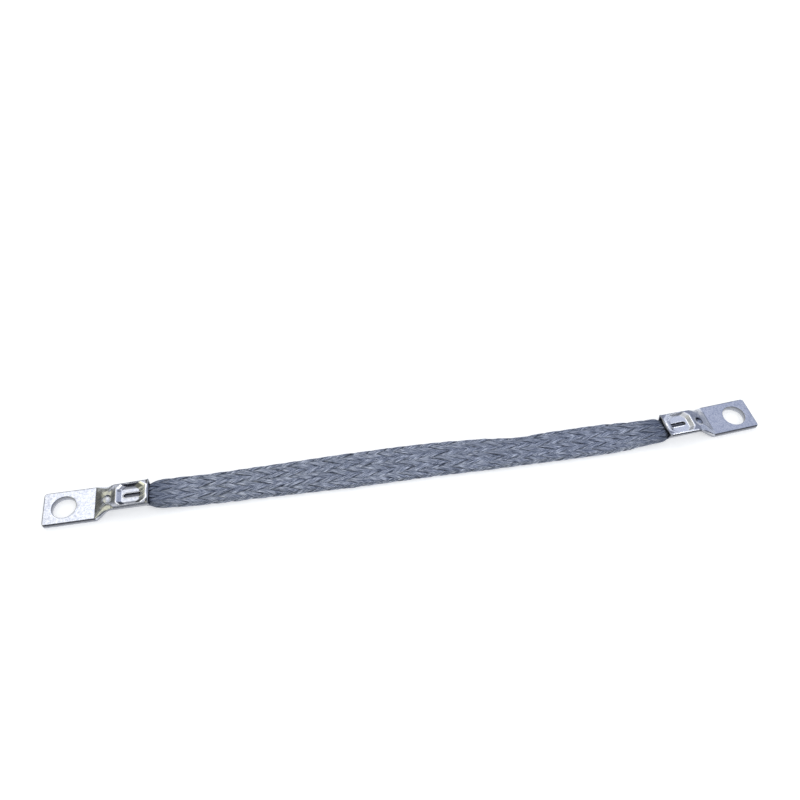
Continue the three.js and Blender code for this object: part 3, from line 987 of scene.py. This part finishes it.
def wires_in_sight_hole(name, bend, turn, crown, edge, material):
    mesh = bpy.data.meshes.new(name)
    shape = bmesh.new()
    size = sight_bunch * mm
    bmesh.ops.create_grid(shape, x_segments=sight_rows, y_segments=4 * sight_wires, size=size)
    for point in shape.verts:
        x = point.co.x / mm
        y = point.co.y / mm
        square = max(abs(x), abs(y))
        away = math.hypot(x, y)
        if away > 0:
            x *= square / away
            y *= square / away
        share = square / sight_bunch
        ridge = sight_ridge * abs(math.cos(math.pi * sight_wires * y / (2 * sight_bunch)))
        height = mix(crown, edge, share**2) + ridge
        point.co = Vector((sight_hole_at + x, y, height)) * mm
    shape.to_mesh(mesh)
    shape.free()
    lay = mesh.attributes.new("lay", "FLOAT_VECTOR", "POINT")
    for point, value in zip(mesh.vertices, lay.data):
        strand = point.co.y / mm * sight_strands + sight_strand_from
        value.vector = (strand, point.co.x / mm, 0.0)
    mesh.transform(Matrix.Translation(bend * mm) @ Matrix.Rotation(turn, 4, "Z"))
    mesh.shade_smooth()
    mesh.materials.append(material)
    bunch = bpy.data.objects.new(name, mesh)
    bpy.context.scene.collection.objects.link(bunch)
    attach(bunch, "root")
    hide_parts("braid")
    return bunch


# A lighter copy of the wire material, a painted highlight for the left lug's sight hole.
highlit_wire = tinned_wire.copy()
highlit_wire.name = "tinned_wire_painted_highlight"
highlight_stops = [(0.60, 0.62, 0.66), (0.82, 0.83, 0.86), (0.92, 0.93, 0.94)]
for node in highlit_wire.node_tree.nodes:
    if node.type == "VALTORGB":
        for element, colour in zip(node.color_ramp.elements, highlight_stops):
            element.color = (*colour, 1)
wires_in_sight_hole("wire_ends_left", left_bend, 0.0, 4.1, 3.6, highlit_wire)
wires_in_sight_hole("wire_ends_right", right_bend, math.pi + right_turn, 3.5, 3.2, tinned_wire)

# White sweep
# The strap lies on matt white paper. The paper glows a little to the camera and in reflections, so that
# it comes out white, and still takes the soft shadow of the strap.
floor_reach = 6
floor_level = -2e-5
floor_glow = 0.42
white = (1, 1, 1, 1)


def seen_straight(tree):
    path = tree.nodes.new("ShaderNodeLightPath")
    either = math_on(tree, "MAXIMUM", path.outputs["Is Camera Ray"], path.outputs["Is Glossy Ray"])
    return math_on(tree, "MAXIMUM", either, path.outputs["Is Transmission Ray"])


floor_corners = [(-1, -1), (1, -1), (1, 1), (-1, 1)]
floor_points = [(floor_reach * x, floor_reach * y, floor_level) for x, y in floor_corners]
floor_mesh = bpy.data.meshes.new("floor")
floor_mesh.from_pydata(floor_points, [], [(0, 1, 2, 3)])
floor = bpy.data.objects.new("floor", floor_mesh)
bpy.context.scene.collection.objects.link(floor)
sweep = bpy.data.materials.new("white_sweep")
sweep.use_nodes = True
sweep_tree = sweep.node_tree
sweep_paper = sweep_tree.nodes["Principled BSDF"]
sweep_paper.inputs["Base Color"].default_value = (0.9, 0.9, 0.9, 1)
sweep_paper.inputs["Roughness"].default_value = 0.9
sweep_level = math_on(sweep_tree, "MULTIPLY", seen_straight(sweep_tree), floor_glow)
sweep_glow = sweep_tree.nodes.new("ShaderNodeEmission")
sweep_glow.inputs["Color"].default_value = white
sweep_tree.links.new(sweep_level, sweep_glow.inputs["Strength"])
sweep_add = sweep_tree.nodes.new("ShaderNodeAddShader")
sweep_tree.links.new(sweep_paper.outputs["BSDF"], sweep_add.inputs[0])
sweep_tree.links.new(sweep_glow.outputs["Emission"], sweep_add.inputs[1])
sweep_tree.links.new(sweep_add.outputs["Shader"], sweep_tree.nodes["Material Output"].inputs["Surface"])
floor_mesh.materials.append(sweep)

# Room light
# Even, slightly blue light comes from all sides. Where the camera or a reflection looks past the paper
# it meets plain white.
room = bpy.data.worlds.new("room")
bpy.context.scene.world = room
room.use_nodes = True
room_tree = room.node_tree
room_light = room_tree.nodes["Background"]
room_light.inputs["Color"].default_value = (0.93, 0.96, 1.0, 1)
room_light.inputs["Strength"].default_value = 0.75
room_seen = room_tree.nodes.new("ShaderNodeBackground")
room_seen.inputs["Color"].default_value = white
room_seen.inputs["Strength"].default_value = 1.0
room_mix = room_tree.nodes.new("ShaderNodeMixShader")
room_tree.links.new(seen_straight(room_tree), room_mix.inputs["Fac"])
room_tree.links.new(room_light.outputs["Background"], room_mix.inputs[1])
room_tree.links.new(room_seen.outputs["Background"], room_mix.inputs[2])
room_tree.links.new(room_mix.outputs["Shader"], room_tree.nodes["World Output"].inputs["Surface"])

# Lamps
# Two soft lamps shape the strap. The larger one stands high behind it, and the smaller one stands at
# the front right.


def soft_lamp(name, place, aim, size, power, colour):
    data = bpy.data.lights.new(name, "AREA")
    data.shape = "RECTANGLE"
    data.size = size[0]
    data.size_y = size[1]
    data.energy = power
    data.color = colour
    lamp = bpy.data.objects.new(name, data)
    lamp.location = place
    lamp.rotation_euler = (Vector(aim) - Vector(place)).to_track_quat("-Z", "Y").to_euler()
    bpy.context.scene.collection.objects.link(lamp)


soft_lamp("lamp_back", (-0.3, 0.75, 1.25), (0, 0, 0), (0.9, 0.7), 1.7, (1.0, 1.0, 1.0))
soft_lamp("lamp_front_right", (0.75, -0.63, 1.14), (0, 0, 0), (0.5, 0.4), 1.6, (0.97, 0.98, 1.0))

# Tent
# Only reflections see this cloth round the table. Its darker bands and cards give the polished tin its
# darker edges, as the room around a product table does.
tent_radius = 2.5
tent_mesh = bpy.data.meshes.new("tent")
tent_shape = bmesh.new()
bmesh.ops.create_uvsphere(tent_shape, u_segments=48, v_segments=24, radius=tent_radius)
tent_shape.to_mesh(tent_mesh)
tent_shape.free()
tent = bpy.data.objects.new("tent", tent_mesh)
bpy.context.scene.collection.objects.link(tent)
tent.visible_camera = False
tent.visible_diffuse = False
tent.visible_shadow = False
tent.visible_transmission = False
tent_cloth = bpy.data.materials.new("tent_cloth")
tent_cloth.use_nodes = True
tent_tree = tent_cloth.node_tree
tent_tree.nodes.remove(tent_tree.nodes["Principled BSDF"])
tent_place = tent_tree.nodes.new("ShaderNodeTexCoord")
tent_way = tent_tree.nodes.new("ShaderNodeVectorMath")
tent_way.operation = "NORMALIZE"
tent_tree.links.new(tent_place.outputs["Object"], tent_way.inputs[0])
tent_parts = tent_tree.nodes.new("ShaderNodeSeparateXYZ")
tent_tree.links.new(tent_way.outputs["Vector"], tent_parts.inputs["Vector"])
tent_x = tent_parts.outputs["X"]
tent_y = tent_parts.outputs["Y"]
tent_z = tent_parts.outputs["Z"]


def tent_band(value, start, end):
    return ranged_on(tent_tree, value, start, end, kind="SMOOTHSTEP")


def tent_overlap(*bands):
    shared = bands[0]
    for band in bands[1:]:
        shared = math_on(tent_tree, "MULTIPLY", shared, band)
    return shared


# The cloth turns from a dark low band to a lighter high one, and both change from left to right.
tent_right = tent_band(tent_x, 0.1, 0.4)
tent_open = ranged_on(tent_tree, tent_right, 0.0, 1.0, 0.5, 0.0)
tent_front = math_on(tent_tree, "MINIMUM", tent_y, 0.0)
tent_rise = math_on(tent_tree, "MULTIPLY_ADD", tent_front, tent_open, tent_z)
tent_across = ranged_on(tent_tree, tent_x, -1.0, 1.0)
tent_upper_stops = [
    (0.06, (0.13, 0.135, 0.14)),
    (0.15, (0.24, 0.24, 0.22)),
    (0.28, (0.40, 0.41, 0.43)),
    (0.33, (0.86, 0.87, 0.91)),
    (0.41, (0.86, 0.88, 0.93)),
    (0.50, (0.70, 0.73, 0.83)),
    (0.74, (0.60, 0.65, 0.82)),
    (0.90, (0.52, 0.56, 0.68)),
]
tent_low_stops = [
    (0.1, (0.36, 0.36, 0.30)),
    (0.35, (0.15, 0.16, 0.17)),
    (0.6, (0.17, 0.18, 0.21)),
    (0.85, (0.62, 0.67, 0.80)),
]
tent_upper = ramp_on(tent_tree, tent_across, tent_upper_stops)
tent_low = ramp_on(tent_tree, tent_across, tent_low_stops)
tent_tone = blended(tent_tree, tent_band(tent_rise, 0.1, 0.5), tent_low, tent_upper)

# A bright pane stands to the front right, a dark card below it, and a warm card at the left.
tent_sash = tent_band(tent_x, 0.8, 0.68)
tent_pane = tent_overlap(tent_right, tent_sash, tent_band(tent_y, -0.2, -0.5), tent_band(tent_z, 0.5, 0.68))
tent_shade = tent_overlap(tent_band(tent_y, -0.4, -0.62), tent_band(tent_z, 0.68, 0.5))
tent_left = tent_band(tent_x, -0.5, -0.68)
tent_warm = tent_overlap(tent_left, tent_band(tent_y, 0.36, 0.16), tent_band(tent_z, 0.1, 0.25))
tent_tone = blended(tent_tree, tent_pane, tent_tone, (1.0, 1.02, 1.06))
tent_tone = blended(tent_tree, tent_shade, tent_tone, (0.10, 0.11, 0.14))
tent_tone = blended(tent_tree, tent_warm, tent_tone, (1.0, 0.98, 0.74))
tent_glow = tent_tree.nodes.new("ShaderNodeEmission")
tent_tree.links.new(tent_tone, tent_glow.inputs["Color"])
tent_tree.links.new(tent_glow.outputs["Emission"], tent_tree.nodes["Material Output"].inputs["Surface"])
tent_mesh.materials.append(tent_cloth)

bpy.context.scene.view_settings.view_transform = "Standard"
